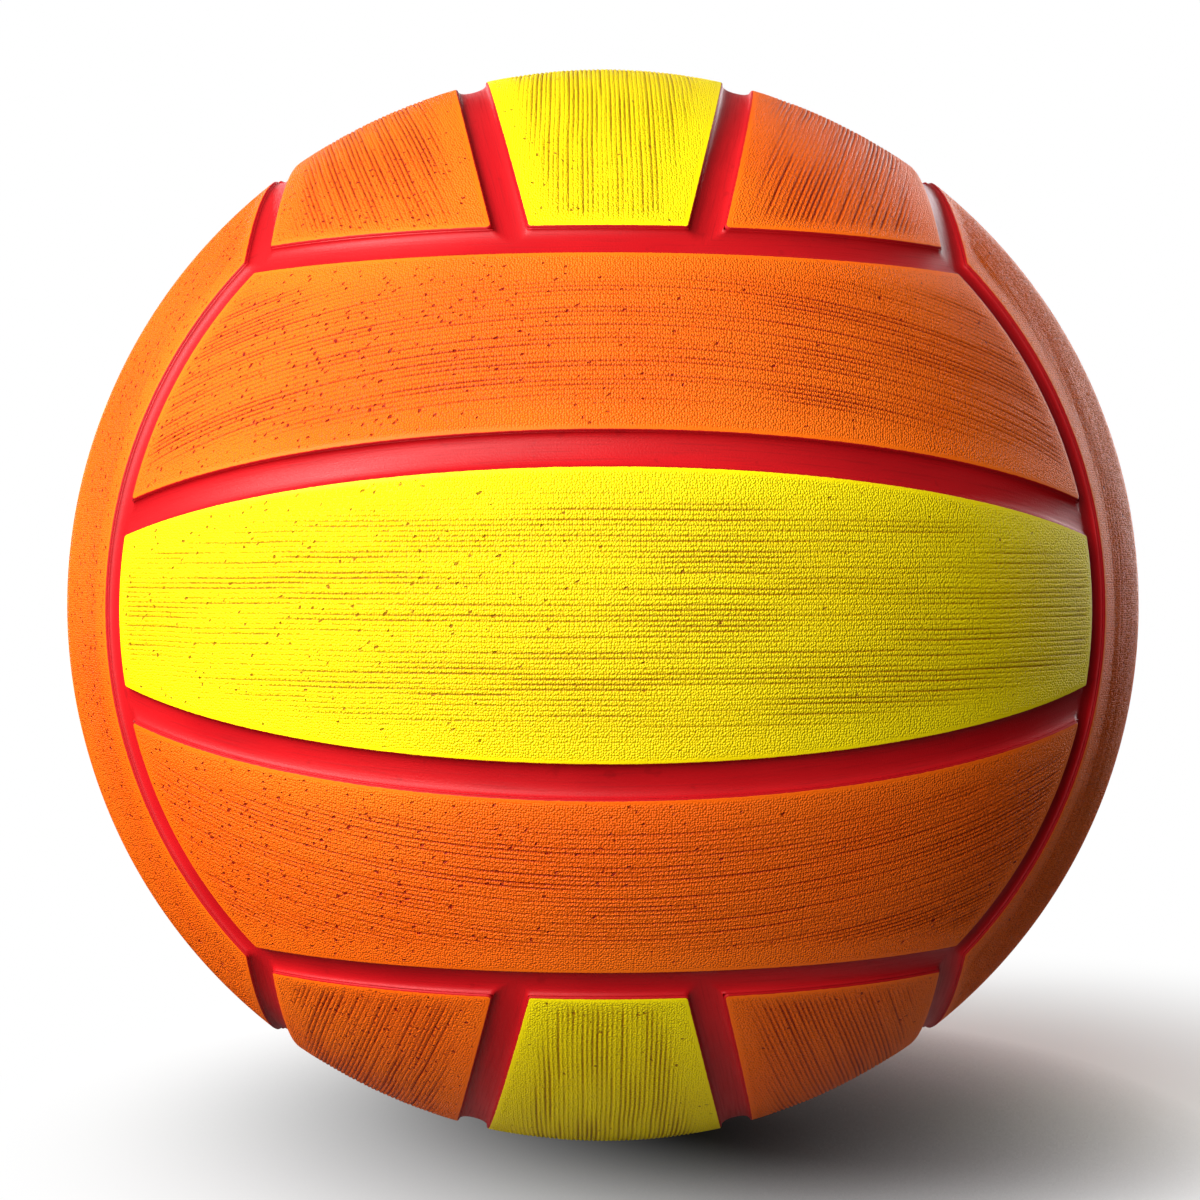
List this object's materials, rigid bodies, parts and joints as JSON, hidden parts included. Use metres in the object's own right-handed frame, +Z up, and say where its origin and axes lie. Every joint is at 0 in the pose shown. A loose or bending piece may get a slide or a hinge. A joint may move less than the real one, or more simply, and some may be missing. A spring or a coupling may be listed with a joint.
{
  "type": "water polo ball",
  "caption": "Round inflatable ball with a pebbled rubber cover of strip panels, recessed round seam channels and a needle valve, for throwing and catching in water.",
  "frame": {"origin": "centre of the ball", "axes": "+Z up; -Y out of the front face, whose strips run level along X; +Y out of the back face, along the needle hole of the valve"},
  "size_m": [0.22, 0.2199, 0.22],
  "materials": {
    "middle_panel_rubber": "pebbled, satin",
    "outer_panel_rubber": "pebbled, satin",
    "seam_rubber": "matt, fine grain",
    "winding_thread": "wound nylon thread set in latex",
    "bladder_rubber": "smooth, matt",
    "valve_rubber": "moulded, satin",
    "valve_core_rubber": "moulded, satin"
  },
  "bodies": {
    "root": {"front_middle_panel": "middle_panel_rubber", "front_upper_panel": "outer_panel_rubber", "front_lower_panel": "outer_panel_rubber", "back_middle_panel": "middle_panel_rubber", "back_upper_panel": "outer_panel_rubber", "back_lower_panel": "outer_panel_rubber", "right_middle_panel": "middle_panel_rubber", "right_front_panel": "outer_panel_rubber", "right_rear_panel": "outer_panel_rubber", "left_middle_panel": "middle_panel_rubber", "left_front_panel": "outer_panel_rubber", "left_rear_panel": "outer_panel_rubber", "top_middle_panel": "middle_panel_rubber", "top_left_panel": "outer_panel_rubber", "top_right_panel": "outer_panel_rubber", "bottom_middle_panel": "middle_panel_rubber", "bottom_left_panel": "outer_panel_rubber", "bottom_right_panel": "outer_panel_rubber", "carcass": "seam_rubber", "thread_winding": "winding_thread", "bladder": "bladder_rubber", "valve_housing": "valve_rubber", "valve_core": "valve_core_rubber"}
  },
  "joints": []
}
